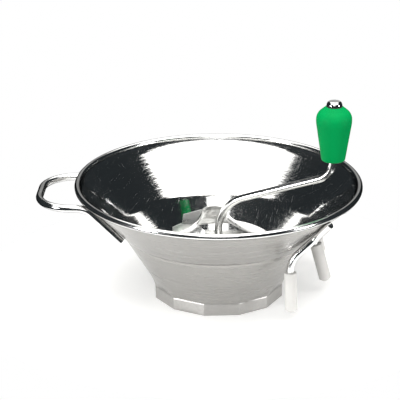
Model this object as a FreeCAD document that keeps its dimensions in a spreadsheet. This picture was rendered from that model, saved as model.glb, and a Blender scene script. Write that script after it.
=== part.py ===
"""Hand cranked tomato strainer: a wide conical bowl with a loop handle and three leg rests,
a domed sieve in its twelve sided band, and a spring loaded helical blade on a bent crank rod.

Millimetres, +Z up. The origin is on the bowl's axis, in the plane of the band's lower edge.
The crank arm points along +X. The loop handle stands turned from -X by the tool turn, the
middle leg opposite it.
"""
import FreeCAD, Part
import math
import os

import Sketcher

os.makedirs("parts", exist_ok=True)
doc = FreeCAD.newDocument("TomatoStrainer")

# ---------------------------------------------------------------- driving dimensions
DIMENSIONS = [
    # bowl
    ("rim_radius", 155.0), ("rim_height", 128.0), ("bead_radius", 3.3), ("bead_sheet", 0.85),
    ("crease_radius", 104.5), ("crease_height", 73.0), ("cone_foot_radius", 68.2),
    ("bowl_wall", 1.5), ("band_height", 14.0), ("band_corner_radius", 71.2), ("band_sheet", 1.2),
    ("band_turn", -5.2), ("shoulder_sheet", 1.0), ("mouth_radius", 66.6), ("lip_sheet", 1.2),
    ("lip_bore_radius", 61.0), ("rim_wire_gap", 0.1),
    # handle
    ("tool_turn", 19.4), ("handle_wire_radius", 4.0), ("handle_height", 111.6),
    ("handle_reach", 192.3), ("handle_half_width", 48.6), ("handle_corner_radius", 36.9),
    ("handle_bend_radius", 22.0), ("handle_root_spread", 53.0), ("handle_root_height", 76.5),
    ("handle_gap", 0.38),
    # legs; turns are from +X, the legs stand on both sides of the tool turn
    ("leg_wire_radius", 4.0), ("leg_weld_top", 114.5), ("leg_weld_bottom", 97.0),
    ("leg_weld_step", 35.9), ("leg_bend_radius", 38.0), ("leg_knee_start", 0.4),
    ("front_knee_turn", -24.8), ("front_knee_drop", 4.8), ("front_knee_clearance", 8.95),
    ("front_foot_turn", -24.6), ("front_foot_rise", 12.2), ("front_foot_out", 2.3),
    ("middle_knee_turn", 20.8), ("middle_knee_drop", 7.7), ("middle_knee_clearance", 3.7),
    ("middle_foot_turn", 21.8), ("middle_foot_rise", 7.8), ("middle_foot_out", 13.9),
    ("rear_knee_turn", 54.3), ("rear_knee_drop", 7.0), ("rear_knee_clearance", 21.3),
    ("rear_foot_turn", 55.4), ("rear_foot_rise", 7.0), ("rear_foot_out", 15.8),
    ("weld_gap", 0.05), ("sleeve_radius", 6.6), ("sleeve_length", 44.0),
    ("sleeve_end_wall", 2.5), ("sleeve_bevel", 2.2), ("sleeve_top_bevel", 0.5),
    ("sleeve_gap", 0.05),
    # sieve
    ("sieve_radius", 66.2), ("sieve_sheet", 1.2), ("sieve_rim_width", 5.7), ("sieve_rise", 18.7),
    ("sieve_eye_radius", 12.0), ("seat_gap", 0.05), ("hole_radius", 2.0),
    ("first_ring_radius", 20.0), ("ring_step", 7.0), ("ring_count", 6), ("holes_per_sector", 3),
    ("bush_radius", 7.0), ("bush_flange_radius", 10.0), ("bush_flange", 0.8), ("bush_stand", 0.8),
    # crank rod
    ("rod_radius", 4.0), ("running_gap", 0.06), ("stack_gap", 0.05), ("rod_foot", 1.2),
    ("crank_radius", 129.5), ("arm_low_height", 101.6), ("arm_high_height", 152.8),
    ("low_bend_radius", 45.0), ("high_bend_radius", 25.0),
    # blade
    ("washer_sheet", 1.0), ("thrust_washer_radius", 9.0), ("hub_disc_radius", 16.0),
    ("hub_disc_sheet", 3.0), ("hub_tube_radius", 7.0), ("hub_tube_top", 56.0),
    ("blade_sheet", 1.2), ("blade_radius", 62.0), ("blade_top", 93.5), ("blade_start", 22.0),
    ("scroll_near_radius", 5.3), ("scroll_far_radius", 18.0), ("flare_near", 0.047),
    ("flare_far", 0.025), ("flare_depth", 24.0), ("blade_high_edge", 58.0),
    ("blade_mid_edge", 52.0), ("blade_sieve_gap", 0.8), ("blade_seam_gap", 0.1),
    ("blade_hub_gap", 1.9),
    ("fin_turn", 168.0), ("fin_inset", 23.0), ("fin_drop", 7.5), ("fin_depth", 10.0),
    ("fin_toe_inset", 11.0), ("fin_toe_height", 70.0), ("scroll_start_drop", 7.5),
    ("lower_blade_start_radius", 24.0), ("blade_edge_swell", 1.4),
    # spring end
    ("spring_washer_radius", 9.5), ("spring_wire_radius", 0.65), ("spring_coil_radius", 6.6),
    ("spring_length", 8.4), ("spring_turns", 3.0), ("nut_height", 6.4), ("nut_radius", 6.5),
    ("nut_nose_radius", 5.0), ("nut_wing_reach", 15.0), ("nut_wing_sheet", 2.2),
    ("nut_wing_height", 5.0), ("nut_wing_root_high", 3.8), ("nut_wing_root_low", 1.3),
    # knob
    ("knob_stand", 17.5), ("knob_length", 59.4), ("knob_foot_radius", 12.4),
    ("knob_belly_radius", 18.8), ("knob_belly_height", 42.0), ("knob_shoulder_height", 51.0),
    ("knob_crown_radius", 8.8), ("knob_foot_round", 2.2), ("knob_belly_round", 20.0),
    ("knob_shoulder_round", 12.0), ("knob_recess_radius", 7.0), ("knob_recess_depth", 3.2),
    ("knob_washer_radius", 6.6), ("knob_washer_sheet", 0.8), ("cap_washer_radius", 8.5),
    ("cap_radius", 8.2), ("cap_height", 4.8), ("cap_bore_depth", 3.0), ("cap_round", 4.0),
]

sizes = doc.addObject("Spreadsheet::Sheet", "Sizes")
for row, (alias, number) in enumerate(DIMENSIONS, start=1):
    sizes.set("A%d" % row, alias)
    sizes.set("B%d" % row, str(number))
    sizes.setAlias("B%d" % row, alias)
doc.recompute()


def size(alias):
    """The number in the sheet's cell of that alias."""
    return float(getattr(sizes, alias))


def value(expression):
    """What an expression of the sheet's aliases comes to now."""
    return float(sizes.evalExpression(expression))


# ---------------------------------------------------------------- sketch and body helpers
def origin_plane(body, role):
    """One of the body's own origin planes, found by its role."""
    return next(item for item in body.Origin.OriginFeatures if item.Role == role)


def new_body(label):
    body = doc.addObject("PartDesign::Body", "Body_" + label)
    body.Label = label
    return body


def new_sketch(body, role, height=None):
    """A sketch on one of the body's origin planes, lifted off it by an expression."""
    sketch = body.newObject("Sketcher::SketchObject", "Sketch")
    sketch.AttachmentSupport = [(origin_plane(body, role), "")]
    sketch.MapMode = "FlatFace"
    if height is not None:
        sketch.setExpression("AttachmentOffset.Base.z", height)
    return sketch


def bind(sketch, kind, *parts):
    """Add a dimension whose last argument is an expression of the sheet."""
    expression = parts[-1]
    index = sketch.addConstraint(Sketcher.Constraint(kind, *parts[:-1], value(expression)))
    sketch.setExpression("Constraints[%d]" % index, expression)


def pin_point(sketch, shape, end, across, up):
    """Hold one point of a sketch at two expressions from the sketch's origin."""
    if across == "0":
        sketch.addConstraint(Sketcher.Constraint("PointOnObject", shape, end, -2))
    else:
        bind(sketch, "DistanceX", -1, 1, shape, end, across)
    if up == "0":
        sketch.addConstraint(Sketcher.Constraint("PointOnObject", shape, end, -1))
    else:
        bind(sketch, "DistanceY", -1, 1, shape, end, up)


def draw_lines(sketch, corners, closed=True):
    """Straight lines through corners given as pairs of expressions."""
    points = [FreeCAD.Vector(value(across), value(up), 0) for across, up in corners]
    ends = points[1:] + points[:1] if closed else points[1:]
    first = sketch.GeometryCount
    for start, end in zip(points, ends):
        sketch.addGeometry(Part.LineSegment(start, end), False)
    count = len(ends)
    for step in range(count if closed else count - 1):
        following = first + (step + 1) % count
        sketch.addConstraint(Sketcher.Constraint("Coincident", first + step, 2, following, 1))
    for step, (across, up) in enumerate(corners):
        if step < count:
            pin_point(sketch, first + step, 1, across, up)
        else:
            pin_point(sketch, first + step - 1, 2, across, up)
    return first


def draw_circle(sketch, across, up, radius):
    centre = FreeCAD.Vector(value(across), value(up), 0)
    circle = Part.Circle(centre, FreeCAD.Vector(0, 0, 1), value(radius))
    index = sketch.addGeometry(circle, False)
    if across == "0" and up == "0":
        sketch.addConstraint(Sketcher.Constraint("Coincident", index, 3, -1, 1))
    else:
        pin_point(sketch, index, 3, across, up)
    bind(sketch, "Radius", index, radius)


def round_corner(sketch, line, radius):
    """Round the corner at the end of one line and tie the arc's radius to the sheet."""
    sketch.fillet(line, 2, value(radius), True, True)
    arc = max(index for index, item in enumerate(sketch.Geometry)
              if item.TypeId == "Part::GeomArcOfCircle")
    bind(sketch, "Radius", arc, radius)


def revolve(body, corners, cut=False):
    """Turn a closed outline, given in the XZ plane, once about the Z axis."""
    sketch = new_sketch(body, "XZ_Plane")
    draw_lines(sketch, corners)
    return turn(body, sketch, cut)


def turn(body, sketch, cut=False):
    kind = "PartDesign::Groove" if cut else "PartDesign::Revolution"
    feature = body.newObject(kind, "Turned")
    feature.Profile = sketch
    feature.ReferenceAxis = (sketch, ["V_Axis"])
    feature.Angle = 360.0
    return feature


def pad(body, sketch, length, both_ways=False):
    feature = body.newObject("PartDesign::Pad", "Pad")
    feature.Profile = sketch
    feature.Midplane = both_ways
    feature.setExpression("Length", length)
    return feature


def pocket(body, sketch, length, upward=False):
    feature = body.newObject("PartDesign::Pocket", "Pocket")
    feature.Profile = sketch
    feature.Reversed = upward
    feature.setExpression("Length", length)
    return feature


def ring(label, bore, radius, low, high):
    """A flat round washer or plain tube between two heights."""
    body = new_body(label)
    revolve(body, [(bore, low), (radius, low), (radius, high), (bore, high)])
    return body


def put_shape(label, shape):
    """A piece whose solid is made with Part's own functions."""
    feature = doc.addObject("Part::Feature", "Shape_" + label)
    feature.Label = label
    feature.Shape = shape
    return feature


# ---------------------------------------------------------------- bent wire
def bent_path(corners, radii):
    """Straight runs through the corners, joined by tangent arcs of the given radii."""
    edges = []
    start = corners[0]
    for before, corner, after, radius in zip(corners, corners[1:], corners[2:], radii):
        back = (before - corner).normalize()
        ahead = (after - corner).normalize()
        half_turn = (math.pi - back.getAngle(ahead)) / 2
        reach = radius * math.tan(half_turn)
        arc_start = corner + back * reach
        arc_end = corner + ahead * reach
        bisector = (back + ahead).normalize()
        middle = corner + bisector * (radius / math.cos(half_turn) - radius)
        edges.append(Part.LineSegment(start, arc_start).toShape())
        edges.append(Part.Arc(arc_start, middle, arc_end).toShape())
        start = arc_end
    edges.append(Part.LineSegment(start, corners[-1]).toShape())
    return Part.Wire(edges)


def bent_rod(corners, radii, rod_radius):
    """A round rod along a bent path."""
    path = bent_path(corners, radii)
    heading = corners[1] - corners[0]
    section = Part.Wire(Part.Circle(corners[0], heading, rod_radius).toShape())
    return path.makePipeShell([section], True, True)


# ---------------------------------------------------------------- bowl
BEAD_CENTRE = "(Sizes.rim_radius - Sizes.bead_radius)"
BEAD_HEIGHT = "(Sizes.rim_height - Sizes.bead_radius)"
HALF_WALL = "Sizes.bowl_wall / 2"
BAND_SIDES = 12
HALF_SIDE = 180.0 / BAND_SIDES


def draw_band(sketch, corner_radius):
    """The band's twelve sided outline; its corners lie on a circle about the axis."""
    corners = []
    for side in range(BAND_SIDES):
        angle = "(Sizes.band_turn + %g)" % ((2 * side + 1) * HALF_SIDE)
        corners.append(("%s * cos(%s)" % (corner_radius, angle),
                        "%s * sin(%s)" % (corner_radius, angle)))
    draw_lines(sketch, corners)


def make_bowl():
    body = new_body("bowl")
    outline = new_sketch(body, "XY_Plane")
    draw_band(outline, "Sizes.band_corner_radius")
    pad(body, outline, "Sizes.band_height")
    revolve(body, [
        ("Sizes.cone_foot_radius", "Sizes.band_height - Sizes.shoulder_sheet / 2"),
        ("Sizes.cone_foot_radius", "Sizes.band_height"),
        ("Sizes.crease_radius", "Sizes.crease_height"),
        (BEAD_CENTRE + " + " + HALF_WALL, BEAD_HEIGHT),
        (BEAD_CENTRE + " - " + HALF_WALL, BEAD_HEIGHT),
        ("Sizes.crease_radius - Sizes.bowl_wall", "Sizes.crease_height"),
        ("Sizes.cone_foot_radius - Sizes.bowl_wall", "Sizes.band_height"),
        ("Sizes.cone_foot_radius - Sizes.bowl_wall",
         "Sizes.band_height - Sizes.shoulder_sheet / 2"),
    ])
    bead = new_sketch(body, "XZ_Plane")
    draw_circle(bead, BEAD_CENTRE, BEAD_HEIGHT, "Sizes.bead_radius")
    turn(body, bead)
    hollow = new_sketch(body, "XZ_Plane")
    draw_circle(hollow, BEAD_CENTRE, BEAD_HEIGHT, "Sizes.bead_radius - Sizes.bead_sheet")
    turn(body, hollow, cut=True)
    room = new_sketch(body, "XY_Plane", "Sizes.lip_sheet")
    inner_corner = "(Sizes.band_corner_radius - Sizes.band_sheet / cos(%g))" % HALF_SIDE
    draw_band(room, inner_corner)
    pocket(body, room, "Sizes.band_height - Sizes.lip_sheet - Sizes.shoulder_sheet", upward=True)
    mouth = new_sketch(body, "XY_Plane", "Sizes.band_height - 1.5 * Sizes.shoulder_sheet")
    draw_circle(mouth, "0", "0", "Sizes.mouth_radius")
    pocket(body, mouth, "2 * Sizes.shoulder_sheet", upward=True)
    outlet = new_sketch(body, "XY_Plane")
    draw_circle(outlet, "0", "0", "Sizes.lip_bore_radius")
    pocket(body, outlet, "2 * Sizes.lip_sheet", upward=True)
    return body


def make_rim_wire():
    wire = doc.addObject("Part::Torus", "RimWire")
    wire.Label = "rim_wire"
    wire.setExpression("Radius1", BEAD_CENTRE)
    wire.setExpression("Radius2", "Sizes.bead_radius - Sizes.bead_sheet - Sizes.rim_wire_gap")
    wire.setExpression("Placement.Base.z", BEAD_HEIGHT)
    return wire


# ---------------------------------------------------------------- handle and legs
def upper_cone():
    """Rise and run of the bowl's upper cone, from the crease to the bead."""
    rise = value(BEAD_HEIGHT + " - Sizes.crease_height")
    run = value(BEAD_CENTRE + " + " + HALF_WALL + " - Sizes.crease_radius")
    return rise, run


def welded_radius(height, wire_radius):
    """Radius at which a wire's axis lies when the wire touches the upper cone."""
    rise, run = upper_cone()
    wall = size("crease_radius") + run * (height - size("crease_height")) / rise
    return wall + (wire_radius + size("weld_gap")) * math.hypot(rise, run) / rise


def lower_cone_radius(height):
    rise = value("Sizes.crease_height - Sizes.band_height")
    run = value("Sizes.crease_radius - Sizes.cone_foot_radius")
    return size("cone_foot_radius") + run * (height - size("band_height")) / rise


def at_spread(radius, spread, height):
    """The point at a radius from the axis and a distance from the XZ plane."""
    return FreeCAD.Vector(math.sqrt(radius ** 2 - spread ** 2), spread, height)


def at_turn(radius, turned, height):
    """The point at a radius from the axis and an angle in degrees from +X."""
    angle = math.radians(turned)
    return FreeCAD.Vector(radius * math.cos(angle), radius * math.sin(angle), height)


def make_handle():
    """The wire loop: level outside the bowl; its two ends bend down and lie along the upper cone."""
    level = size("handle_height")
    width = size("handle_half_width")
    wire = size("handle_wire_radius")
    gap = size("handle_gap")
    height = size("handle_root_height")
    root = at_spread(welded_radius(height, wire) + gap, size("handle_root_spread"), height)
    bend = at_spread(welded_radius(level, wire) + gap, width, level)
    tip_corner = FreeCAD.Vector(size("handle_reach"), width, level)

    def mirrored(point):
        return FreeCAD.Vector(point.x, -point.y, point.z)

    corners = [root, bend, tip_corner, mirrored(tip_corner), mirrored(bend), mirrored(root)]
    bend_radius = size("handle_bend_radius")
    corner_radius = size("handle_corner_radius")
    radii = [bend_radius, corner_radius, corner_radius, bend_radius]
    loop = bent_rod(corners, radii, wire)
    opposite = 180.0
    loop.rotate(FreeCAD.Vector(0, 0, 0), FreeCAD.Vector(0, 0, 1), size("tool_turn") + opposite)
    return put_shape("handle_loop", loop)


def leg_corners(leg, steps):
    """Corners of one leg wire, which is welded some steps round from the tool turn."""
    weld_turn = size("tool_turn") + steps * size("leg_weld_step")
    wire = size("leg_wire_radius")
    corners = []
    for height in (size("leg_weld_top"), size("leg_weld_bottom")):
        corners.append(at_turn(welded_radius(height, wire), weld_turn, height))
    height = size("crease_height") - size(leg + "_knee_drop")
    radius = lower_cone_radius(height) + size(leg + "_knee_clearance")
    corners.append(at_turn(radius, size(leg + "_knee_turn"), height))
    foot_height = height - size("sleeve_length") - size(leg + "_foot_rise")
    corners.append(at_turn(radius + size(leg + "_foot_out"), size(leg + "_foot_turn"), foot_height))
    return corners


def knee_radius(before, knee, foot):
    """Bend radius of a knee whose arc ends just above the sleeve."""
    reach = (foot - knee).Length - size("sleeve_length") - size("leg_knee_start")
    half_turn = (math.pi - (before - knee).getAngle(foot - knee)) / 2
    return reach / math.tan(half_turn)


def make_leg(leg, steps):
    corners = leg_corners(leg, steps)
    radii = [size("leg_bend_radius"), knee_radius(*corners[-3:])]
    heading = (corners[-1] - corners[-2]).normalize()
    corners[-1] = corners[-1] - heading * (size("sleeve_end_wall") + size("sleeve_gap"))
    return put_shape(leg + "_leg_wire", bent_rod(corners, radii, size("leg_wire_radius")))


def make_sleeve(leg, steps):
    """A moulded sleeve, closed at its foot, pushed up the end of a leg wire."""
    body = new_body(leg + "_foot_sleeve")
    bore = "Sizes.leg_wire_radius + Sizes.sleeve_gap"
    revolve(body, [
        ("0", "0"),
        ("Sizes.sleeve_radius - Sizes.sleeve_bevel", "0"),
        ("Sizes.sleeve_radius", "Sizes.sleeve_bevel"),
        ("Sizes.sleeve_radius", "Sizes.sleeve_length - Sizes.sleeve_top_bevel"),
        ("Sizes.sleeve_radius - Sizes.sleeve_top_bevel", "Sizes.sleeve_length"),
        (bore, "Sizes.sleeve_length"),
        (bore, "Sizes.sleeve_end_wall"),
        ("0", "Sizes.sleeve_end_wall"),
    ])
    knee, foot = leg_corners(leg, steps)[-2:]
    turned = FreeCAD.Rotation(FreeCAD.Vector(0, 0, 1), knee - foot)
    body.Placement = FreeCAD.Placement(foot, turned)
    return body


# ---------------------------------------------------------------- sieve
SIEVE_LOW = "(Sizes.lip_sheet + Sizes.seat_gap)"
SIEVE_HIGH = "(Sizes.lip_sheet + Sizes.seat_gap + Sizes.sieve_rise)"
SIEVE_CONE_RADIUS = "(Sizes.sieve_radius - Sizes.sieve_rim_width)"
RUNNING_BORE = "(Sizes.rod_radius + Sizes.running_gap)"
BUSH_TOP = "(%s + Sizes.sieve_sheet + Sizes.bush_stand)" % SIEVE_HIGH


def make_sieve():
    body = new_body("sieve_plate")
    revolve(body, [
        ("Sizes.bush_radius", SIEVE_HIGH),
        ("Sizes.sieve_eye_radius", SIEVE_HIGH),
        (SIEVE_CONE_RADIUS, SIEVE_LOW),
        ("Sizes.sieve_radius", SIEVE_LOW),
        ("Sizes.sieve_radius", SIEVE_LOW + " + Sizes.sieve_sheet"),
        (SIEVE_CONE_RADIUS, SIEVE_LOW + " + Sizes.sieve_sheet"),
        ("Sizes.sieve_eye_radius", SIEVE_HIGH + " + Sizes.sieve_sheet"),
        ("Sizes.bush_radius", SIEVE_HIGH + " + Sizes.sieve_sheet"),
    ])
    sector = new_sketch(body, "XY_Plane")
    sectors = 6
    for step in range(int(size("ring_count"))):
        radius = "(Sizes.first_ring_radius + %d * Sizes.ring_step)" % step
        holes = int(size("holes_per_sector")) + step
        for hole in range(holes):
            angle = 360.0 / sectors * (hole + 0.5 * (step % 2)) / holes
            draw_circle(sector, "%s * cos(%.3f)" % (radius, angle),
                        "%s * sin(%.3f)" % (radius, angle), "Sizes.hole_radius")
    holes = pocket(body, sector, "2 * " + SIEVE_HIGH, upward=True)
    pattern = body.newObject("PartDesign::PolarPattern", "HoleSectors")
    pattern.Originals = [holes]
    pattern.Axis = (sector, ["N_Axis"])
    pattern.Angle = 360.0
    pattern.Occurrences = sectors
    body.Tip = pattern
    return body


def make_sieve_bush():
    """Flanged bush in the sieve's eye; the crank rod runs in it."""
    body = new_body("sieve_bush")
    barrel = "Sizes.bush_radius - Sizes.seat_gap"
    under = SIEVE_HIGH + " - Sizes.seat_gap"
    revolve(body, [
        (RUNNING_BORE, under + " - Sizes.bush_flange"),
        ("Sizes.bush_flange_radius", under + " - Sizes.bush_flange"),
        ("Sizes.bush_flange_radius", under),
        (barrel, under),
        (barrel, BUSH_TOP),
        (RUNNING_BORE, BUSH_TOP),
    ])
    return body


# ---------------------------------------------------------------- crank
SNUG_BORE = "(Sizes.rod_radius + Sizes.stack_gap)"
KNOB_FOOT = "(Sizes.arm_high_height + Sizes.knob_stand)"
KNOB_TOP = "(%s + Sizes.knob_length)" % KNOB_FOOT
CAP_SEAT = "(%s + 2 * Sizes.stack_gap + Sizes.knob_washer_sheet)" % KNOB_TOP
ROD_TOP = "(%s + Sizes.cap_bore_depth - Sizes.stack_gap)" % CAP_SEAT


def make_crank_rod():
    body = new_body("crank_rod")
    path = new_sketch(body, "XZ_Plane")
    first = draw_lines(path, [
        ("0", "Sizes.rod_foot"),
        ("0", "Sizes.arm_low_height"),
        ("Sizes.crank_radius", "Sizes.arm_high_height"),
        ("Sizes.crank_radius", ROD_TOP),
    ], closed=False)
    round_corner(path, first, "Sizes.low_bend_radius")
    round_corner(path, first + 1, "Sizes.high_bend_radius")
    section = new_sketch(body, "XY_Plane", "Sizes.rod_foot")
    draw_circle(section, "0", "0", "Sizes.rod_radius")
    rod = body.newObject("PartDesign::AdditivePipe", "Rod")
    rod.Profile = section
    rod.Spine = (path, [])
    return body


# ---------------------------------------------------------------- blade
def sieve_surface(radius):
    """Height of the sieve's upper face at one radius."""
    low = value(SIEVE_LOW) + size("sieve_sheet")
    cone_radius = value(SIEVE_CONE_RADIUS)
    eye = size("sieve_eye_radius")
    share = (cone_radius - radius) / (cone_radius - eye)
    return low + size("sieve_rise") * min(max(share, 0.0), 1.0)


def scroll_root(share):
    """Radius of the scroll round the rod at its top edge; it leaves the rod quickly."""
    near = size("scroll_near_radius")
    return near + (size("scroll_far_radius") - near) * (1 - (1 - share) ** 3)


def flare_steepness(share):
    near = size("flare_near")
    return near + (size("flare_far") - near) * share


def flare_edge(share):
    """Height of the upper blade's outer edge."""
    high = size("blade_high_edge")
    return high + (size("blade_mid_edge") - high) * share


def flare_height(radius, share):
    """Height of the flared sheet at a radius, at a share of the first half turn."""
    depth = size("flare_depth")
    bend_radius = scroll_root(share) + flare_steepness(share) * depth ** 2
    if radius <= bend_radius:
        fall = math.sqrt(max(radius - scroll_root(share), 0.0) / flare_steepness(share))
        return size("blade_top") - fall
    out = (radius - bend_radius) / (size("blade_radius") - bend_radius)
    bend_height = size("blade_top") - depth
    swell = size("blade_edge_swell") * 4 * out * (1 - out)
    return bend_height + (flare_edge(share) - bend_height) * out + swell


def smooth(share):
    """Runs from 0 to 1 as share does, level at both ends."""
    return share * share * (3 - 2 * share)


def flare_profile(share):
    """Scroll and flare of the upper blade; share runs from 0 at its start to 1 half a turn on."""
    top_fall = size("scroll_start_drop") * (1 - share) ** 4
    steps = 5
    profile = []
    for step in range(steps):
        fall = top_fall + (size("flare_depth") - top_fall) * step / (steps - 1)
        radius = scroll_root(share) + flare_steepness(share) * fall ** 2
        profile.append((radius, size("blade_top") - fall))
    half_way = (profile[-1][0] + size("blade_radius")) / 2
    for radius in (half_way, size("blade_radius")):
        profile.append((radius, flare_height(radius, share)))
    return profile


def plate_profile(share):
    """The lower blade; share 0 is where the upper blade ends, 1 is its heel on the sieve."""
    blend = smooth(min(2 * share, 1.0))
    inner_high = size("hub_tube_radius") + size("blade_hub_gap")
    inner_low = size("hub_disc_radius") + size("blade_hub_gap")
    inner = inner_high + (inner_low - inner_high) * share
    inner += (size("lower_blade_start_radius") - inner) * (1 - blend)
    heel = size("blade_sieve_gap") + size("blade_sheet")
    rise = size("blade_mid_edge") - sieve_surface(size("blade_radius")) - heel
    steps = 7
    profile = []
    for step in range(steps):
        radius = inner + (size("blade_radius") - inner) * step / (steps - 1)
        plate = sieve_surface(radius) + heel + rise * (1 - share)
        profile.append((radius, plate + (flare_height(radius, 1.0) - plate) * (1 - blend)))
    return profile


def sheet_section(profile, angle):
    """Closed outline of the blade sheet in the half plane at one angle; the profile is its top."""
    turned = math.radians(angle)
    thick = size("blade_sheet")

    def place(radius, height):
        return FreeCAD.Vector(radius * math.cos(turned), radius * math.sin(turned), height)

    lower = []
    for index, (radius, height) in enumerate(profile):
        before = profile[max(index - 1, 0)]
        after = profile[min(index + 1, len(profile) - 1)]
        run = after[0] - before[0]
        fall = after[1] - before[1]
        length = math.hypot(run, fall)
        lower.append((radius + thick * fall / length, height - thick * run / length))
    upper_curve = Part.BSplineCurve()
    upper_curve.interpolate([place(*point) for point in profile])
    lower_curve = Part.BSplineCurve()
    lower_curve.interpolate([place(*point) for point in lower])
    start = Part.LineSegment(place(*lower[0]), place(*profile[0]))
    end = Part.LineSegment(place(*profile[-1]), place(*lower[-1]))
    edges = [start.toShape(), upper_curve.toShape(), end.toShape(), lower_curve.toShape()]
    return Part.Wire(Part.__sortEdges__(edges))


HALF_TURN = 180.0
SECTIONS = 7


def make_upper_blade():
    """The scroll round the back of the rod, flaring out into the first half of the helix."""
    sections = []
    for step in range(SECTIONS):
        share = step / (SECTIONS - 1)
        angle = size("blade_start") + HALF_TURN * share
        sections.append(sheet_section(flare_profile(share), angle))
    return put_shape("upper_blade", Part.makeLoft(sections, True, False))


def make_lower_blade():
    """The second half of the helix, which comes down to the sieve."""
    seam = math.degrees(size("blade_seam_gap") / size("lower_blade_start_radius"))
    sections = []
    for step in range(SECTIONS):
        share = step / (SECTIONS - 1)
        angle = size("blade_start") + HALF_TURN + seam + (HALF_TURN - seam) * share
        sections.append(sheet_section(plate_profile(share), angle))
    return put_shape("lower_blade", Part.makeLoft(sections, True, False))


def make_blade_fin():
    """Upright fin that stands on the upper blade's flare, near its end."""
    share = size("fin_turn") / HALF_TURN
    half_sheet = size("blade_sheet") / 2
    gap = size("seat_gap") + half_sheet
    top = size("blade_top")
    reach = size("blade_radius") - size("fin_inset")
    toe = size("blade_radius") - size("fin_toe_inset")
    inner = scroll_root(share) + gap
    outline = [(inner, top), (reach, top - size("fin_drop")),
               (reach + size("blade_sheet"), top - size("fin_drop") - size("fin_depth")),
               (toe, size("fin_toe_height"))]
    steps = 8
    for step in range(steps):
        radius = toe + (inner + gap - toe) * step / (steps - 1)
        outline.append((radius, flare_height(radius - gap, share) + gap / 2))
    turned = math.radians(size("blade_start") + size("fin_turn"))
    along = FreeCAD.Vector(math.cos(turned), math.sin(turned), 0)
    across = FreeCAD.Vector(-along.y, along.x, 0)
    points = [along * radius + FreeCAD.Vector(0, 0, height) for radius, height in outline]
    face = Part.Face(Part.makePolygon(points + points[:1]))
    face.translate(across * -half_sheet)
    return put_shape("blade_fin", face.extrude(across * size("blade_sheet")))


HUB_LOW = "(%s + 2 * Sizes.stack_gap + Sizes.washer_sheet)" % BUSH_TOP


def make_hub():
    """Hub tube with its foot disc; the blade sheets are welded round it."""
    body = new_body("blade_hub")
    revolve(body, [
        (SNUG_BORE, HUB_LOW),
        ("Sizes.hub_disc_radius", HUB_LOW),
        ("Sizes.hub_disc_radius", HUB_LOW + " + Sizes.hub_disc_sheet"),
        ("Sizes.hub_tube_radius", HUB_LOW + " + Sizes.hub_disc_sheet"),
        ("Sizes.hub_tube_radius", "Sizes.hub_tube_top"),
        (SNUG_BORE, "Sizes.hub_tube_top"),
    ])
    return body


def make_thrust_washer():
    low = BUSH_TOP + " + Sizes.stack_gap"
    return ring("thrust_washer", SNUG_BORE, "Sizes.thrust_washer_radius",
                low, low + " + Sizes.washer_sheet")


# ---------------------------------------------------------------- spring end
SPRING_WASHER_HIGH = "(%s - Sizes.seat_gap - Sizes.bush_flange - Sizes.stack_gap)" % SIEVE_HIGH
SPRING_HIGH = "(%s - Sizes.washer_sheet - Sizes.stack_gap)" % SPRING_WASHER_HIGH
SPRING_LOW = "(%s - Sizes.spring_length)" % SPRING_HIGH
CUP_HIGH = "(%s - Sizes.stack_gap)" % SPRING_LOW
NUT_HIGH = "(%s - Sizes.washer_sheet - Sizes.stack_gap)" % CUP_HIGH
NUT_LOW = "(%s - Sizes.nut_height)" % NUT_HIGH


def make_spring():
    body = new_body("pressure_spring")
    section = new_sketch(body, "XZ_Plane")
    draw_circle(section, "Sizes.spring_coil_radius", SPRING_LOW + " + Sizes.spring_wire_radius",
                "Sizes.spring_wire_radius")
    coil = body.newObject("PartDesign::AdditiveHelix", "Coil")
    coil.Profile = section
    coil.ReferenceAxis = (section, ["V_Axis"])
    coil.Mode = 2
    coil.setExpression("Height", "Sizes.spring_length - 2 * Sizes.spring_wire_radius")
    coil.setExpression("Turns", "Sizes.spring_turns")
    return body


def make_wing_nut():
    body = new_body("wing_nut")
    revolve(body, [
        (SNUG_BORE, NUT_LOW),
        ("Sizes.nut_nose_radius", NUT_LOW),
        ("Sizes.nut_radius", NUT_HIGH),
        (SNUG_BORE, NUT_HIGH),
    ])
    root = "(Sizes.rod_radius + Sizes.nut_nose_radius) / 2"
    for side in ("", "-1 * "):
        wing = new_sketch(body, "XZ_Plane")
        corners = [
            (side + root, NUT_LOW + " + Sizes.nut_wing_root_high"),
            (side + "Sizes.nut_wing_reach", NUT_LOW + " + Sizes.nut_wing_height"),
            (side + "Sizes.nut_wing_reach", NUT_LOW),
            (side + root, NUT_LOW + " + Sizes.nut_wing_root_low"),
        ]
        draw_lines(wing, corners)
        pad(body, wing, "Sizes.nut_wing_sheet", both_ways=True)
    bore = new_sketch(body, "XY_Plane", NUT_LOW)
    draw_circle(bore, "0", "0", SNUG_BORE)
    pocket(body, bore, "Sizes.nut_height", upward=True)
    return body


# ---------------------------------------------------------------- knob
def make_knob():
    """Tapered knob that turns on the rod's upright end."""
    body = new_body("knob")
    sketch = new_sketch(body, "XZ_Plane")
    first = draw_lines(sketch, [
        (RUNNING_BORE, "Sizes.knob_recess_depth"),
        ("Sizes.knob_recess_radius", "Sizes.knob_recess_depth"),
        ("Sizes.knob_recess_radius", "0"),
        ("Sizes.knob_foot_radius", "0"),
        ("Sizes.knob_belly_radius", "Sizes.knob_belly_height"),
        ("Sizes.knob_belly_radius", "Sizes.knob_shoulder_height"),
        ("Sizes.knob_crown_radius", "Sizes.knob_length"),
        (RUNNING_BORE, "Sizes.knob_length"),
    ])
    round_corner(sketch, first + 2, "Sizes.knob_foot_round")
    round_corner(sketch, first + 3, "Sizes.knob_belly_round")
    round_corner(sketch, first + 4, "Sizes.knob_shoulder_round")
    turn(body, sketch)
    body.setExpression("Placement.Base.x", "Sizes.crank_radius")
    body.setExpression("Placement.Base.z", KNOB_FOOT)
    return body


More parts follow.
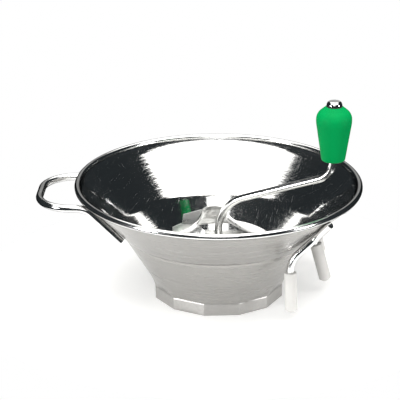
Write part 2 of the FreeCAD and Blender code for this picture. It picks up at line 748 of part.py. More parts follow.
def on_knob_axis(body):
    body.setExpression("Placement.Base.x", "Sizes.crank_radius")
    return body


def make_knob_washers():
    low = KNOB_FOOT + " + Sizes.knob_recess_depth - Sizes.stack_gap"
    on_knob_axis(ring("knob_stop_washer", SNUG_BORE, "Sizes.knob_washer_radius",
                      low + " - Sizes.knob_washer_sheet", low))
    low = KNOB_TOP + " + Sizes.stack_gap"
    on_knob_axis(ring("knob_top_washer", SNUG_BORE, "Sizes.cap_washer_radius",
                      low, low + " + Sizes.knob_washer_sheet"))


def make_cap_nut():
    body = new_body("cap_nut")
    sketch = new_sketch(body, "XZ_Plane")
    first = draw_lines(sketch, [
        (SNUG_BORE, CAP_SEAT),
        ("Sizes.cap_radius", CAP_SEAT),
        ("Sizes.cap_radius", CAP_SEAT + " + Sizes.cap_height"),
        ("0", CAP_SEAT + " + Sizes.cap_height"),
        ("0", CAP_SEAT + " + Sizes.cap_bore_depth"),
        (SNUG_BORE, CAP_SEAT + " + Sizes.cap_bore_depth"),
    ])
    round_corner(sketch, first + 1, "Sizes.cap_round")
    turn(body, sketch)
    return on_knob_axis(body)


# ---------------------------------------------------------------- assembly
def spring_washers():
    ring("spring_top_washer", SNUG_BORE, "Sizes.spring_washer_radius",
         SPRING_WASHER_HIGH + " - Sizes.washer_sheet", SPRING_WASHER_HIGH)
    ring("spring_lower_washer", SNUG_BORE, "Sizes.spring_washer_radius",
         CUP_HIGH + " - Sizes.washer_sheet", CUP_HIGH)


def make_all():
    make_bowl()
    make_rim_wire()
    make_handle()
    for steps, leg in enumerate(("front", "middle", "rear"), start=-1):
        make_leg(leg, steps)
        make_sleeve(leg, steps)
    make_sieve()
    make_sieve_bush()
    make_crank_rod()
    make_upper_blade()
    make_lower_blade()
    make_blade_fin()
    make_hub()
    make_thrust_washer()
    spring_washers()
    make_spring()
    make_wing_nut()
    make_knob()
    make_knob_washers()
    make_cap_nut()


def sub_parts():
    """The document objects that are pieces of their own."""
    kinds = ("PartDesign::Body", "Part::Feature", "Part::Torus")
    return [item for item in doc.Objects if item.TypeId in kinds]


make_all()
doc.recompute()
for item in doc.Objects:
    if "Invalid" in item.State or "Error" in item.State:
        raise RuntimeError("%s (%s) failed: %s" % (item.Name, item.Label, item.State))
for item in sub_parts():
    if item.Shape.isNull() or not item.Shape.isValid():
        raise RuntimeError("%s has no valid shape" % item.Label)
for item in sub_parts():
    item.Shape.exportStep("parts/%s.step" % item.Label)
    box = item.Shape.BoundBox
    print("%-20s solids %d volume %9.1f  z %7.2f to %7.2f" % (
        item.Label, len(item.Shape.Solids), item.Shape.Volume, box.ZMin, box.ZMax))
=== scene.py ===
from collections import namedtuple
import math

import bpy
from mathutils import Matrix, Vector


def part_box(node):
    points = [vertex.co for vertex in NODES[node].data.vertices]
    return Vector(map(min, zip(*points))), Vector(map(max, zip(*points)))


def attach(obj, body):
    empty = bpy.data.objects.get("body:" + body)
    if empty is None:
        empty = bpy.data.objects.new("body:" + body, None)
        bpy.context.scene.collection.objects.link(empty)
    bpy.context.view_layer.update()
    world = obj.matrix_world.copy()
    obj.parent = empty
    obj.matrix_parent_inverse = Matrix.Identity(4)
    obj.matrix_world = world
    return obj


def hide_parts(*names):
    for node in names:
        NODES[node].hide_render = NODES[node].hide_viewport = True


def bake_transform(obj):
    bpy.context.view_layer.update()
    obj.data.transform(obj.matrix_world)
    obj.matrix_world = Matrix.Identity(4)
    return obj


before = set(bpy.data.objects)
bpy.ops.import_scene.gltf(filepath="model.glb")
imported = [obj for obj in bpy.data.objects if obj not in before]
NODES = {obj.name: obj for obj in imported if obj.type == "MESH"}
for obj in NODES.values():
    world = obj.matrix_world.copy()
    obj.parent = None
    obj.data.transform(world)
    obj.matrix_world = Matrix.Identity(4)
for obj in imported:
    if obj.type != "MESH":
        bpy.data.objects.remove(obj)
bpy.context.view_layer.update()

# ---------------------------------------------------------------- sizes, in metres and degrees
RIM_RADIUS = 0.155
RIM_HEIGHT = 0.128
BEAD_RADIUS = 0.0033
CREASE_RADIUS = 0.1045
CREASE_HEIGHT = 0.073
CREASE_SOFT = 0.0022
CREASE_GROOVE = 0.0007
CREASE_GROOVE_WIDTH = 0.0014
CONE_FOOT_RADIUS = 0.0682
WALL = 0.0015
BAND_HEIGHT = 0.014
BAND_CORNER_RADIUS = 0.0712
BAND_CORNER_ROUND = 0.0022
BAND_SHEET = 0.0012
BAND_SIDES = 12
BAND_TURN = -5.2
LIP_BORE_RADIUS = 0.061
LIP_SHEET = 0.0012
LIP_EDGE = 0.0003
MOUTH_RADIUS = 0.0666
SPRING_COIL_RADIUS = 0.0066
SPRING_WIRE_RADIUS = 0.00065
SPRING_TURNS = 3.0


# ---------------------------------------------------------------- shader helpers
class Shader:
    """A Principled material whose colour, roughness and bump come from node patterns.

    Further sockets are set by name, with underscores for the name's spaces.
    """

    def __init__(self, name, metallic=0.0, roughness=0.4, **sockets):
        self.material = bpy.data.materials.new(name)
        self.material.use_nodes = True
        self.tree = self.material.node_tree
        self.surface = self.tree.nodes["Principled BSDF"]
        self.surface.inputs["Metallic"].default_value = metallic
        self.surface.inputs["Roughness"].default_value = roughness
        for socket, number in sockets.items():
            self.surface.inputs[socket.replace("_", " ")].default_value = number
        self.place = self.tree.nodes.new("ShaderNodeTexCoord").outputs["Object"]
        self.height = None

    def join(self, start, end):
        self.tree.links.new(start, end)

    def scaled(self, scale, turn):
        """The object's own coordinates, turned and stretched."""
        mapping = self.tree.nodes.new("ShaderNodeMapping")
        mapping.inputs["Scale"].default_value = scale
        mapping.inputs["Rotation"].default_value = turn
        self.join(self.place, mapping.inputs["Vector"])
        return mapping.outputs["Vector"]

    def noise(self, scale, detail=3.0, rough=0.55, turn=(0.0, 0.0, 0.0)):
        """Noise whose scale may differ along X, Y and Z, which makes streaks."""
        node = self.tree.nodes.new("ShaderNodeTexNoise")
        node.inputs["Scale"].default_value = 1.0
        node.inputs["Detail"].default_value = detail
        node.inputs["Roughness"].default_value = rough
        self.join(self.scaled(scale, turn), node.inputs["Vector"])
        return node.outputs["Fac"]

    def math(self, kind, first, second=0.0):
        """A sum of two outputs, or of an output and a number."""
        node = self.tree.nodes.new("ShaderNodeMath")
        node.operation = kind
        for socket, item in zip(node.inputs, (first, second)):
            if isinstance(item, (int, float)):
                socket.default_value = item
            else:
                self.join(item, socket)
        return node.outputs[0]

    def spread(self, fac, low, high, new_low, new_high):
        """An output's range from low to high, eased onto a new range."""
        node = self.tree.nodes.new("ShaderNodeMapRange")
        node.interpolation_type = "SMOOTHSTEP"
        numbers = (low, high, new_low, new_high)
        for socket, number in zip(("From Min", "From Max", "To Min", "To Max"), numbers):
            node.inputs[socket].default_value = number
        self.join(fac, node.inputs["Value"])
        return node.outputs["Result"]

    def blend(self, fac, first, second):
        """A colour between two colours, or between a colour and another blend."""
        node = self.tree.nodes.new("ShaderNodeMix")
        node.data_type = "RGBA"
        self.join(fac, node.inputs["Factor"])
        colour_inputs = [item for item in node.inputs if item.type == "RGBA"]
        for socket, item in zip(colour_inputs, (first, second)):
            if isinstance(item, tuple):
                socket.default_value = (*item, 1.0)
            else:
                self.join(item, socket)
        return next(item for item in node.outputs if item.type == "RGBA")

    def colour(self, item):
        self.join(item, self.surface.inputs["Base Color"])

    def roughness(self, item):
        self.join(item, self.surface.inputs["Roughness"])

    def add_height(self, item, share):
        """Adds a share of an output to the height that the bump is made from."""
        part = self.math("MULTIPLY", item, share)
        self.height = part if self.height is None else self.math("ADD", self.height, part)

    def bump(self, distance):
        """Joins the height to the surface and gives the finished material."""
        node = self.tree.nodes.new("ShaderNodeBump")
        node.inputs["Strength"].default_value = 1.0
        node.inputs["Distance"].default_value = distance
        self.join(self.height, node.inputs["Height"])
        self.join(node.outputs["Normal"], self.surface.inputs["Normal"])
        return self.material


# ---------------------------------------------------------------- metals
FINE_SHARE = 0.6
COARSE_SHARE = 0.4
COARSE_SCALE = 0.22
COARSE_HEIGHT = 1.4
STREAK_LEVELS = (0.3, 0.7)
STREAK_ROUGHNESS = (0.75, 1.3)
PATCH_SCALE = (9.0, 9.0, 9.0)
SMUDGE = 0.1
SMUDGE_LEVELS = (0.45, 0.75)
SMUDGE_COVER = 0.5
WORN_LEVELS = (0.4, 0.7)
WORN_ROUGHNESS = (-0.02, 0.04)
SPECK_SCALE = (500.0, 500.0, 1700.0)
SPECK_LEVELS = (0.48, 0.62)
# each kind of scratch: the noise's scale, its turn, and the level where a scratch starts
SCRATCHES = (((1500.0, 16.0, 80.0), (0.3, 0.2, 0.9), 0.70),
             ((24.0, 1700.0, 60.0), (0.9, 0.4, 0.1), 0.72))
SCRATCH_EDGE = 0.05
SCRATCH_ROUGHNESS = 0.10
SCRATCH_DEPTH = -0.3


def strokes(shader, scale, turn, amount):
    """Short straight scratches: the peaks of a noise drawn out along one way."""
    field = shader.noise(scale, detail=1.0, turn=turn)
    return shader.spread(field, amount, amount + SCRATCH_EDGE, 0.0, 1.0)


def brushed_metal(name, light, dark, rough, grain, bump, scratch=0.0, ripple=None, edge=1.0,
                  specks=0.0):
    """Metal with a grain along one way, faint smudges, and scratches, ripples or specks if given.

    edge tints grazing angles, low for painted dark outlines; ripple a noise scale and a height,
    specks a roughness.
    """
    shader = Shader(name, metallic=1.0, Specular_Tint=(edge, edge, edge, 1.0))
    fine = shader.noise(grain, detail=6.0, rough=0.65)
    coarse = shader.noise(tuple(step * COARSE_SCALE for step in grain), detail=3.0)
    patches = shader.noise(PATCH_SCALE, detail=4.0)
    streaks = shader.math("ADD", shader.math("MULTIPLY", fine, FINE_SHARE),
                          shader.math("MULTIPLY", coarse, COARSE_SHARE))
    base = shader.blend(shader.spread(streaks, *STREAK_LEVELS, 0.0, 1.0), dark, light)
    tint = tuple(channel * (1.0 - SMUDGE) for channel in light)
    smudges = shader.spread(patches, *SMUDGE_LEVELS, 0.0, SMUDGE_COVER)
    shader.colour(shader.blend(smudges, base, tint))
    uneven = shader.spread(streaks, *STREAK_LEVELS, *(rough * part for part in STREAK_ROUGHNESS))
    level = shader.math("ADD", uneven, shader.spread(patches, *WORN_LEVELS, *WORN_ROUGHNESS))
    shader.add_height(fine, 1.0)
    shader.add_height(coarse, COARSE_HEIGHT)
    if ripple:
        scale, height = ripple
        shader.add_height(shader.noise(scale, detail=2.5, rough=0.6), height)
    if specks:
        dots = shader.spread(shader.noise(SPECK_SCALE, detail=2.0), *SPECK_LEVELS, 0.0, specks)
        level = shader.math("ADD", level, dots)
    if scratch:
        lines = shader.math("MAXIMUM", *(strokes(shader, *kind) for kind in SCRATCHES))
        level = shader.math("ADD", level,
                            shader.math("MULTIPLY", lines, SCRATCH_ROUGHNESS * scratch))
        shader.add_height(lines, SCRATCH_DEPTH * scratch)
    shader.roughness(level)
    return shader.bump(bump)


# ---------------------------------------------------------------- plastics
CLOUD_SCALE = (40.0, 40.0, 25.0)
CLOUD_LEVELS = (0.3, 0.7)
CLOUD_ROUGHNESS = (0.85, 1.2)
WEAR_SCALE = (60.0, 25.0, 90.0)
WEAR_TURN = (0.5, 0.3, 0.2)
WEAR_WIDTH = 0.006
WEAR_ROUGHNESS = 0.12
WEAR_DEPTH = -0.5


def hairlines(shader, scale, turn, width):
    """Thin wandering lines, where a wide noise crosses its middle value."""
    field = shader.noise(scale, detail=0.3, turn=turn)
    off = shader.math("ABSOLUTE", shader.math("SUBTRACT", field, 0.5))
    return shader.spread(off, 0.0, width, 1.0, 0.0)


def plastic(name, light, dark, rough, grain, bump, **sockets):
    """Moulded plastic with faint clouds, a fine peel and hairline wear."""
    shader = Shader(name, roughness=rough, **sockets)
    clouds = shader.noise(CLOUD_SCALE, detail=4.0)
    peel = shader.noise((grain, grain, grain), detail=2.0)
    wear = hairlines(shader, WEAR_SCALE, WEAR_TURN, WEAR_WIDTH)
    shader.colour(shader.blend(shader.spread(clouds, *CLOUD_LEVELS, 0.0, 1.0), dark, light))
    uneven = shader.spread(clouds, *CLOUD_LEVELS, *(rough * part for part in CLOUD_ROUGHNESS))
    shader.roughness(shader.math("ADD", uneven, shader.math("MULTIPLY", wear, WEAR_ROUGHNESS)))
    shader.add_height(peel, 1.0)
    shader.add_height(wear, WEAR_DEPTH)
    return shader.bump(bump)


# ---------------------------------------------------------------- finishes
MATERIALS = {
    "inside": brushed_metal("bowl_inside", (0.82, 0.82, 0.81), (0.70, 0.70, 0.69), rough=0.040,
                            grain=(14.0, 14.0, 1500.0), bump=0.00001, scratch=1.8,
                            ripple=((34.0, 34.0, 520.0), 9.5), specks=0.12),
    # the outside's base colours are painted darker than the inside's, as painted shade; its satin
    # roughness, grain and scratches are the metal's own
    "outside": brushed_metal("bowl_outside_painted_shade", (0.43, 0.420, 0.405), (0.35, 0.342, 0.33), rough=0.24,
                             grain=(22.0, 22.0, 1900.0), bump=0.00001, scratch=0.6,
                             ripple=((12.0, 12.0, 60.0), 1.5)),
    "band": brushed_metal("band_satin", (0.50, 0.49, 0.475), (0.38, 0.372, 0.36), rough=0.40,
                          grain=(500.0, 500.0, 700.0), bump=0.00003, scratch=0.6),
    # a black edge tint paints dark outlines along the wires and the bead, as painted shade
    "wire": brushed_metal("wire_polished", (0.90, 0.90, 0.89), (0.78, 0.78, 0.78), rough=0.13,
                          grain=(120.0, 120.0, 120.0), bump=0.00002, scratch=0.6, edge=0.0),
    # a low edge tint paints dark outlines along the rod, as painted shade
    "rod": brushed_metal("rod_polished", (0.93, 0.93, 0.92), (0.82, 0.82, 0.81), rough=0.20,
                         grain=(160.0, 160.0, 60.0), bump=0.00002, scratch=0.6, edge=0.35),
    "blade": brushed_metal("blade_bright", (0.93, 0.93, 0.92), (0.80, 0.80, 0.79), rough=0.30,
                           grain=(60.0, 60.0, 700.0), bump=0.00004, scratch=1.0),
    "turned": brushed_metal("turned_steel", (0.66, 0.66, 0.65), (0.48, 0.48, 0.48), rough=0.28,
                            grain=(60.0, 60.0, 900.0), bump=0.00003),
    "sieve": brushed_metal("sieve_satin", (0.66, 0.65, 0.63), (0.50, 0.50, 0.49), rough=0.30,
                           grain=(320.0, 320.0, 320.0), bump=0.00002, scratch=1.0),
    "spring": brushed_metal("spring_steel", (0.48, 0.48, 0.48), (0.30, 0.30, 0.31), rough=0.34,
                            grain=(300.0, 300.0, 300.0), bump=0.00003),
    "brass": brushed_metal("bush_brass", (0.74, 0.56, 0.27), (0.58, 0.42, 0.18), rough=0.26,
                           grain=(60.0, 60.0, 900.0), bump=0.00003),
    "cap": brushed_metal("cap_chrome", (0.76, 0.76, 0.76), (0.70, 0.70, 0.70), rough=0.07,
                         grain=(160.0, 160.0, 160.0), bump=0.00001, scratch=0.3),
    "green": plastic("knob_green", (0.0005, 0.355, 0.090), (0.0005, 0.325, 0.080), rough=0.50,
                     grain=420.0, bump=0.00003, Specular_IOR_Level=0.06),
    "sleeve": plastic("sleeve_white", (0.68, 0.67, 0.645), (0.63, 0.62, 0.60), rough=0.45,
                      grain=700.0, bump=0.00004),
    # near black, the washer under the cap paints the shadow line beneath the cap nut
    "dark": plastic("painted_shadow_ring", (0.030, 0.030, 0.030), (0.018, 0.018, 0.018), rough=0.5,
                    grain=500.0, bump=0.00003),
}

FINISH = {
    "bowl": "outside", "rim_wire": "wire", "handle_loop": "wire",
    "front_leg_wire": "wire", "middle_leg_wire": "wire", "rear_leg_wire": "wire",
    "front_foot_sleeve": "sleeve", "middle_foot_sleeve": "sleeve", "rear_foot_sleeve": "sleeve",
    "sieve_plate": "sieve", "sieve_bush": "brass", "crank_rod": "rod",
    "upper_blade": "blade", "lower_blade": "blade", "blade_fin": "blade", "blade_hub": "turned",
    "thrust_washer": "brass", "spring_top_washer": "turned", "spring_lower_washer": "turned",
    "wing_nut": "turned", "knob": "green", "knob_stop_washer": "turned",
    "knob_top_washer": "dark", "cap_nut": "cap",
}
for node_name, finish in FINISH.items():
    node = NODES[node_name]
    node.data.materials.clear()
    node.data.materials.append(MATERIALS[finish])


# ---------------------------------------------------------------- mesh helpers
SHARP_ANGLE = 35.0


def around_axis(radius, angle, height):
    """A point at a radius, an angle in radians and a height."""
    return radius * math.cos(angle), radius * math.sin(angle), height


def levels(start, end, steps):
    """Even levels from start to end, both included."""
    return [start + (end - start) * step / steps for step in range(steps + 1)]


def add_piece(name, points, faces, finishes, indices=None):
    """A smooth shaded mesh object with one or more finishes."""
    mesh = bpy.data.meshes.new(name)
    mesh.from_pydata(points, [], faces)
    for finish in finishes:
        mesh.materials.append(MATERIALS[finish])
    mesh.polygons.foreach_set("use_smooth", [True] * len(faces))
    if indices:
        mesh.polygons.foreach_set("material_index", indices)
    mesh.set_sharp_from_angle(angle=math.radians(SHARP_ANGLE))
    piece = bpy.data.objects.new(name, mesh)
    bpy.context.scene.collection.objects.link(piece)
    return piece


# ---------------------------------------------------------------- bowl
SIDE = 360.0 / BAND_SIDES
HALF_SIDE = math.pi / BAND_SIDES
FLAT_DISTANCE = BAND_CORNER_RADIUS * math.cos(HALF_SIDE)
# degrees from one corner of the band towards the next, close together at the corners
CORNER_OFFSETS = (0.0, 0.35, 0.7, 1.1, 1.6, 4.0, 7.0, 10.0, 13.0, 15.0, 17.0, 20.0, 23.0, 26.0,
                  28.4, 28.9, 29.3, 29.65)
# the band's levels, each with how far its outline is drawn in
BAND_LEVELS = ((0.0, 0.0006), (0.0002, 0.0002), (0.0007, 0.0), (0.004, 0.0), (0.0085, 0.0),
               (0.0120, 0.0), (0.0133, 0.0))
# the wall's foot changes from the band's twelve sides to round over these levels
FOOT_LEVELS = (0.0137, 0.0142, 0.016, 0.018, 0.020, 0.022, 0.024, 0.026, 0.028, 0.030)
FOOT_EASE = 1.5
ROUND_LOW = 0.034
CREASE_ZONE_LOW = 0.070
CREASE_ZONE_HIGH = 0.076
OUTSIDE_TOP = 0.1212
INSIDE_TOP = 0.1203
INSIDE_FOOT = 0.0142
SHOULDER_HIGH = 0.0136
SHOULDER_LOW = 0.0130
BEAD_ANGLES = (-112.0, 204.0)
BEAD_STEPS = 22
LOWER_STEPS = 12
CREASE_STEPS = 16
UPPER_OUTSIDE_STEPS = 11
UPPER_INSIDE_STEPS = 10

OUTSIDE, INSIDE, BEAD, BAND = range(4)
BOWL_FINISHES = ("outside", "inside", "wire", "band")
# band is the share of the band's outline in a ring's radius, foot the share of its corners
Ring = namedtuple("Ring", "height radius finish band inset foot",
                  defaults=(OUTSIDE, 0.0, 0.0, 0.0))


def band_radius(angle, inset):
    """Radius of the rounded twelve sided outline at an angle in degrees."""
    off = math.radians((angle - BAND_TURN) % SIDE - SIDE / 2)
    flat = FLAT_DISTANCE - inset
    centre = (flat - BAND_CORNER_ROUND) / math.cos(HALF_SIDE)
    arc_edge = math.atan2(BAND_CORNER_ROUND * math.sin(HALF_SIDE),
                          centre + BAND_CORNER_ROUND * math.cos(HALF_SIDE))
    if abs(off) < arc_edge:
        return centre * math.cos(off) + math.sqrt(
            BAND_CORNER_ROUND ** 2 - (centre * math.sin(off)) ** 2)
    return flat / math.cos(HALF_SIDE - abs(off))


def lower_cone(height):
    run = (CREASE_RADIUS - CONE_FOOT_RADIUS) / (CREASE_HEIGHT - BAND_HEIGHT)
    return CONE_FOOT_RADIUS + run * (height - BAND_HEIGHT)


def upper_cone(height):
    bead_height = RIM_HEIGHT - BEAD_RADIUS
    bead_radius = RIM_RADIUS - BEAD_RADIUS + WALL / 2
    run = (bead_radius - CREASE_RADIUS) / (bead_height - CREASE_HEIGHT)
    return CREASE_RADIUS + run * (height - CREASE_HEIGHT)


def wall_radius(height, depth=0.0):
    """Outer radius of the wall; the crease is a soft bend, with a groove of that depth."""
    off = height - CREASE_HEIGHT
    groove = depth * math.exp(-(off / CREASE_GROOVE_WIDTH) ** 2)
    if off < -CREASE_SOFT:
        return lower_cone(height) - groove
    if off > CREASE_SOFT:
        return upper_cone(height) - groove
    gain = upper_cone(CREASE_HEIGHT + CREASE_SOFT) - lower_cone(CREASE_HEIGHT + CREASE_SOFT)
    return lower_cone(height) + gain * ((off + CREASE_SOFT) / (2 * CREASE_SOFT)) ** 2 - groove


def foot_share(height):
    """How much of the band's corners is left in the wall's foot at a height."""
    risen = (height - FOOT_LEVELS[0]) / (FOOT_LEVELS[-1] - FOOT_LEVELS[0])
    return max(1.0 - risen, 0.0) ** FOOT_EASE


def bowl_rings():
    """The bowl's section: from the lip's bore out, up the outside, over the bead, down inside."""
    rings = [Ring(0.0, LIP_BORE_RADIUS, BAND)]
    rings += [Ring(height, 0.0, BAND, 1.0, inset) for height, inset in BAND_LEVELS]
    rings += [Ring(height, wall_radius(height), foot=foot_share(height)) for height in FOOT_LEVELS]
    rings += [Ring(height, wall_radius(height))
              for height in levels(ROUND_LOW, CREASE_ZONE_LOW, LOWER_STEPS)[:-1]]
    rings += [Ring(height, wall_radius(height, CREASE_GROOVE))
              for height in levels(CREASE_ZONE_LOW, CREASE_ZONE_HIGH, CREASE_STEPS)]
    rings += [Ring(height, wall_radius(height))
              for height in levels(CREASE_ZONE_HIGH, OUTSIDE_TOP, UPPER_OUTSIDE_STEPS)[1:]]
    for degrees in levels(*BEAD_ANGLES, BEAD_STEPS):
        angle = math.radians(degrees)
        rings.append(Ring(RIM_HEIGHT - BEAD_RADIUS + BEAD_RADIUS * math.sin(angle),
                          RIM_RADIUS - BEAD_RADIUS + BEAD_RADIUS * math.cos(angle), BEAD))
    inside = (levels(INSIDE_TOP, CREASE_ZONE_HIGH, UPPER_INSIDE_STEPS)
              + levels(CREASE_ZONE_HIGH, CREASE_ZONE_LOW, CREASE_STEPS)[1:]
              + levels(CREASE_ZONE_LOW, INSIDE_FOOT, LOWER_STEPS)[1:])
    rings += [Ring(height, wall_radius(height) - WALL, INSIDE) for height in inside]
    rings += [Ring(SHOULDER_HIGH, MOUTH_RADIUS, INSIDE),
              Ring(SHOULDER_LOW, MOUTH_RADIUS, INSIDE),
              Ring(SHOULDER_LOW, 0.0, INSIDE, 1.0, BAND_SHEET),
              Ring(LIP_SHEET, 0.0, INSIDE, 1.0, BAND_SHEET),
              Ring(LIP_SHEET, LIP_BORE_RADIUS + LIP_EDGE, INSIDE),
              Ring(LIP_SHEET - LIP_EDGE, LIP_BORE_RADIUS, INSIDE)]
    return rings


def make_bowl_shell():
    """The whole bowl as one closed shell of rings."""
    angles = [BAND_TURN + SIDE * (index + 0.5) + offset
              for index in range(BAND_SIDES) for offset in CORNER_OFFSETS]
    rings = bowl_rings()
    points = []
    for ring in rings:
        for angle in angles:
            outline = band_radius(angle, ring.inset)
            reach = (ring.radius + (outline - ring.radius) * ring.band
                     + (outline - CONE_FOOT_RADIUS) * ring.foot)
            points.append(around_axis(reach, math.radians(angle), ring.height))
    count = len(angles)
    faces = []
    indices = []
    for row, ring in enumerate(rings):
        following = (row + 1) % len(rings)
        for column in range(count):
            beside = (column + 1) % count
            faces.append((row * count + column, row * count + beside,
                          following * count + beside, following * count + column))
            indices.append(ring.finish)
    piece = add_piece("bowl_shell", points, faces, BOWL_FINISHES, indices)
    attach(piece, "strainer")
    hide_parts("bowl")


make_bowl_shell()


# ---------------------------------------------------------------- spring
SPRING_STEPS = 144
SPRING_SIDES = 14


def make_spring():
    """A coil between the spring's two seats, built once at the spring part's height."""
    low, high = (corner[2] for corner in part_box("pressure_spring"))
    start = low + SPRING_WIRE_RADIUS
    rise = high - low - 2 * SPRING_WIRE_RADIUS
    points = []
    for step in range(SPRING_STEPS + 1):
        turned = 2 * math.pi * SPRING_TURNS * step / SPRING_STEPS
        middle = start + rise * step / SPRING_STEPS
        for index in range(SPRING_SIDES):
            angle = 2 * math.pi * index / SPRING_SIDES
            points.append(around_axis(SPRING_COIL_RADIUS + SPRING_WIRE_RADIUS * math.cos(angle),
                                      turned, middle + SPRING_WIRE_RADIUS * math.sin(angle)))
    sides = range(SPRING_SIDES)
    faces = [tuple(sides),
             tuple(SPRING_STEPS * SPRING_SIDES + index for index in reversed(sides))]
    for step in range(SPRING_STEPS):
        here = step * SPRING_SIDES
        following = here + SPRING_SIDES
        for index in sides:
            beside = (index + 1) % SPRING_SIDES
            faces.append((here + index, following + index, following + beside, here + beside))
    piece = add_piece("spring_coil", points, faces, ("spring",))
    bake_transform(piece)
    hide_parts("pressure_spring")


make_spring()


# ---------------------------------------------------------------- studio
# each glow of the sky: a direction, the cosines where it starts and is full, and its strength
OVERHEAD = ((0.0, 0.0, 1.0), 0.738, 0.760, 3.3)
FRONT_HALF = ((0.375, -0.927, 0.0), -0.14, -0.03, 1.0)
HIGH_BACK = ((-0.19, 0.47, 0.862), 0.90, 0.94, 2.5)
LOW_BACK = ((-0.354, 0.876, 0.327), 0.94, 0.965, 0.5)
GLOW_COLOUR = (1.0, 0.99, 0.97)
DIM_COLOUR = (0.75, 0.9, 1.0)
DIM_STRENGTH = 0.03
BACKDROP_COLOUR = (1.0, 1.0, 1.0)

FLOOR_RADIUS = 0.27
FLOOR_SIDES = 96
FLOOR_GLOW_COLOUR = (0.95, 0.95, 0.94, 1.0)
FLOOR_GLOW = 0.34
FLOOR_CLOUD_SCALE = (2.0, 2.0, 2.0)
FLOOR_COLOURS = ((0.93, 0.93, 0.925), (0.95, 0.95, 0.945))

# name, place, aim, width, height, watts
SOFTBOXES = (
    ("right_strip", (1.67, -0.07, 0.30), (0.0, 0.0, 0.03), 0.45, 0.5, 13.0),
    ("left_strip", (-0.90, -1.41, 0.30), (0.0, 0.0, 0.03), 0.45, 0.5, 20.0),
    ("front_fill", (0.55, -1.36, 1.10), (0.0, 0.0, 0.08), 0.8, 0.8, 5.0),
)


def make_world():
    """Light from above and behind, dark low sides for the metal; plain white where it is seen."""
    world = bpy.data.worlds.new("studio")
    bpy.context.scene.world = world
    world.use_nodes = True
    tree = world.node_tree
    tree.nodes.clear()
    place = tree.nodes.new("ShaderNodeTexCoord").outputs["Generated"]

    def glow(towards, start, end, strength):
        """Strength where the direction comes within a cone round one way."""
        dot = tree.nodes.new("ShaderNodeVectorMath")
        dot.operation = "DOT_PRODUCT"
        dot.inputs[1].default_value = Vector(towards).normalized()
        tree.links.new(place, dot.inputs[0])
        rise = tree.nodes.new("ShaderNodeMapRange")
        rise.interpolation_type = "SMOOTHSTEP"
        for socket, number in (("From Min", start), ("From Max", end), ("To Max", strength)):
            rise.inputs[socket].default_value = number
        tree.links.new(dot.outputs["Value"], rise.inputs["Value"])
        return rise.outputs["Result"]

    def combined(kind, first, second):
        node = tree.nodes.new("ShaderNodeMath")
        node.operation = kind
        tree.links.new(first, node.inputs[0])
        tree.links.new(second, node.inputs[1])
        return node.outputs[0]

    def background(colour, strength=1.0):
        node = tree.nodes.new("ShaderNodeBackground")
        node.inputs["Color"].default_value = (*colour, 1.0)
        node.inputs["Strength"].default_value = strength
        return node

    dome = combined("MULTIPLY", glow(*OVERHEAD), glow(*FRONT_HALF))
    behind = combined("MAXIMUM", glow(*HIGH_BACK), glow(*LOW_BACK))
    lit = background(GLOW_COLOUR)
    tree.links.new(combined("MAXIMUM", dome, behind), lit.inputs["Strength"])
    light = tree.nodes.new("ShaderNodeAddShader")
    tree.links.new(lit.outputs[0], light.inputs[0])
    tree.links.new(background(DIM_COLOUR, DIM_STRENGTH).outputs[0], light.inputs[1])
    ray = tree.nodes.new("ShaderNodeLightPath")
    mix = tree.nodes.new("ShaderNodeMixShader")
    tree.links.new(ray.outputs["Is Camera Ray"], mix.inputs["Fac"])
    tree.links.new(light.outputs[0], mix.inputs[1])
    tree.links.new(background(BACKDROP_COLOUR).outputs[0], mix.inputs[2])
    out = tree.nodes.new("ShaderNodeOutputWorld")
    tree.links.new(mix.outputs[0], out.inputs["Surface"])


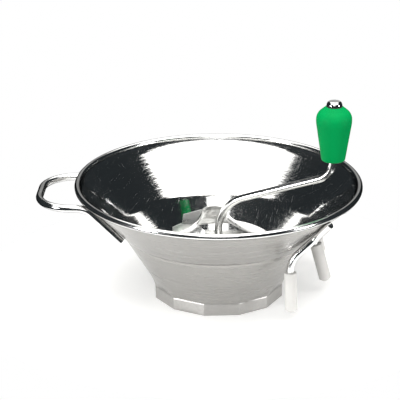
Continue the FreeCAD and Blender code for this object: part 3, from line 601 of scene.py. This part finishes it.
def make_floor():
    """A pale round table top, lit as white as the backdrop."""
    corners = [around_axis(FLOOR_RADIUS, 2 * math.pi * step / FLOOR_SIDES, 0.0)
               for step in range(FLOOR_SIDES)]
    mesh = bpy.data.meshes.new("floor")
    mesh.from_pydata(corners, [], [tuple(range(FLOOR_SIDES))])
    floor = bpy.data.objects.new("floor", mesh)
    bpy.context.scene.collection.objects.link(floor)
    shader = Shader("floor_pale", roughness=0.8, Emission_Color=FLOOR_GLOW_COLOUR,
                    Emission_Strength=FLOOR_GLOW)
    clouds = shader.noise(FLOOR_CLOUD_SCALE, detail=2.0)
    shader.colour(shader.blend(clouds, *FLOOR_COLOURS))
    mesh.materials.append(shader.material)


def softbox(name, place, aim, width, height, watts):
    """A rectangular area light at a place, turned towards an aim."""
    data = bpy.data.lights.new(name, "AREA")
    data.shape = "RECTANGLE"
    data.size = width
    data.size_y = height
    data.energy = watts
    light = bpy.data.objects.new(name, data)
    light.location = place
    light.rotation_mode = "QUATERNION"
    light.rotation_quaternion = (Vector(aim) - Vector(place)).to_track_quat("-Z", "Y")
    bpy.context.scene.collection.objects.link(light)


# ---------------------------------------------------------------- camera
CAMERA_AZIMUTH = math.radians(22.0)
CAMERA_ELEVATION = math.radians(23.64)
CAMERA_DISTANCE = 2.4
CAMERA_SENSOR = 36.0
CAMERA_LENS = 196.64
CAMERA_CLIP_END = 50.0
AIM_RIGHT = -0.0203
AIM_UP = 0.0988


def make_camera():
    """A long lens in front, a little to the legs' side, aimed left of the axis above the foot."""
    back = Vector((math.sin(CAMERA_AZIMUTH) * math.cos(CAMERA_ELEVATION),
                   -math.cos(CAMERA_AZIMUTH) * math.cos(CAMERA_ELEVATION),
                   math.sin(CAMERA_ELEVATION)))
    right = Vector((math.cos(CAMERA_AZIMUTH), math.sin(CAMERA_AZIMUTH), 0.0))
    aim = right * AIM_RIGHT + back.cross(right) * AIM_UP
    data = bpy.data.cameras.new("camera")
    data.sensor_width = CAMERA_SENSOR
    data.lens = CAMERA_LENS
    data.clip_end = CAMERA_CLIP_END
    camera = bpy.data.objects.new("camera", data)
    camera.location = back * CAMERA_DISTANCE
    camera.rotation_mode = "QUATERNION"
    camera.rotation_quaternion = (aim - camera.location).to_track_quat("-Z", "Y")
    bpy.context.scene.collection.objects.link(camera)
    bpy.context.scene.camera = camera


make_world()
make_floor()
for box in SOFTBOXES:
    softbox(*box)
make_camera()
bpy.context.scene.view_settings.view_transform = "Standard"
